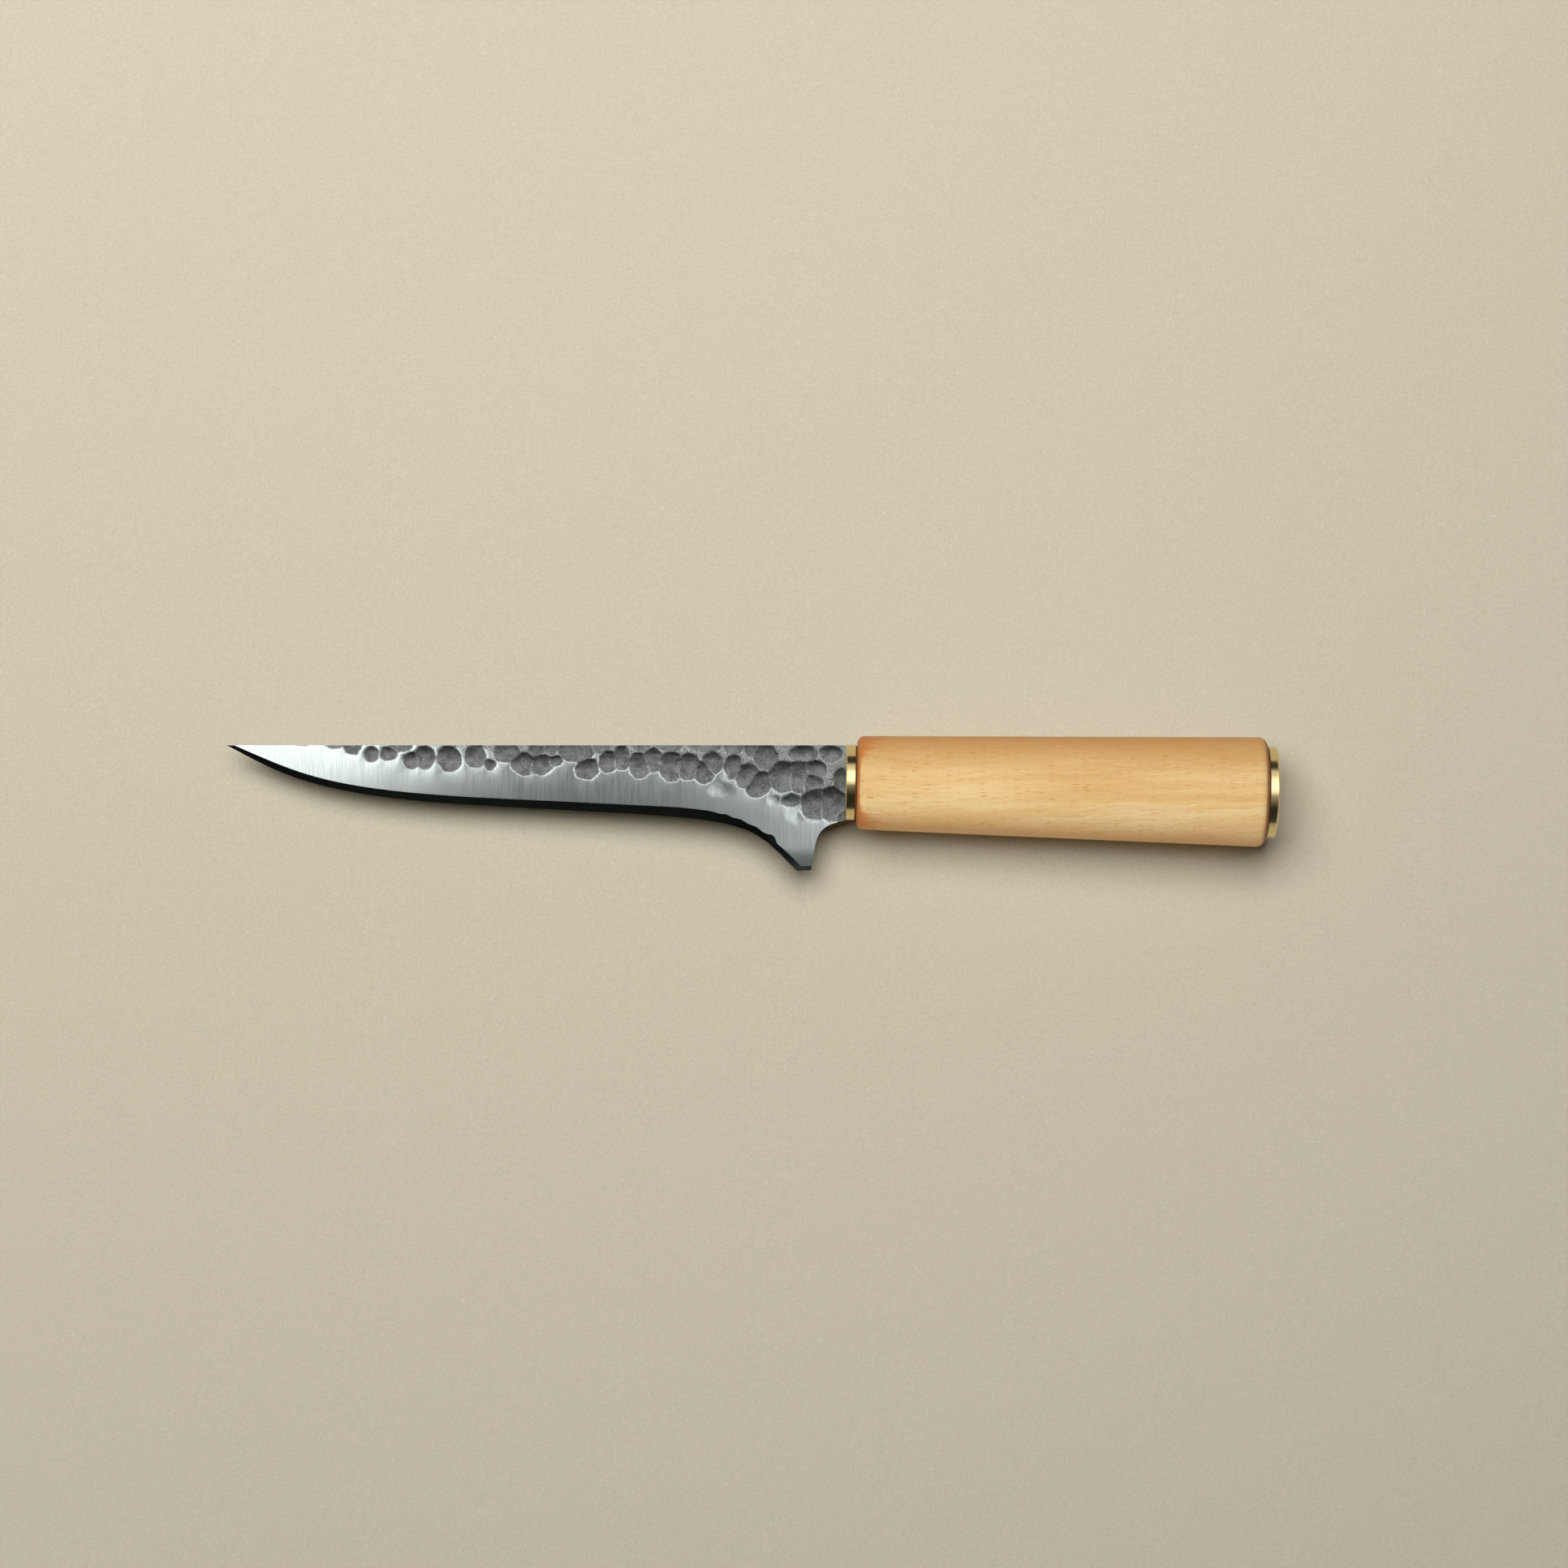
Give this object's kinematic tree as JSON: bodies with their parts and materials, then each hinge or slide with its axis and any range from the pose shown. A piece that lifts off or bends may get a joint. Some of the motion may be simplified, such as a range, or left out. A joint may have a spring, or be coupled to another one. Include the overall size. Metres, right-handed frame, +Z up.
{
  "type": "boning knife",
  "caption": "Boning knife: narrow forged blade with hammered flats and a heel spur, round tapered beech handle, brass ferrule and brass butt cap.",
  "frame": {"origin": "centre of the butt cap's outer face, on the handle's axis", "axes": "+X along the handle's axis, pointing out of the butt, +Y towards the blade's spine, +Z up when the knife lies on its side, square to the blade's mid-plane"},
  "size_m": [0.2749, 0.0378, 0.0286],
  "materials": {
    "blade_steel": "satin flats with hammer marks and a dark ground edge",
    "brass": "turned and polished",
    "beech": "oiled, lightly scorched at the front end",
    "fibre": "matt vulcanised fibre",
    "fastener_steel": "zinc plated",
    "epoxy": "cured resin"
  },
  "bodies": {
    "root": {"blade": "blade_steel", "ferrule": "brass", "front_spacer": "fibre", "grip": "beech", "tang_stud": "fastener_steel", "tang_bedding": "epoxy", "stud_washer": "fastener_steel", "stud_nut": "fastener_steel", "rear_spacer": "fibre", "butt_cap": "brass"}
  },
  "joints": []
}
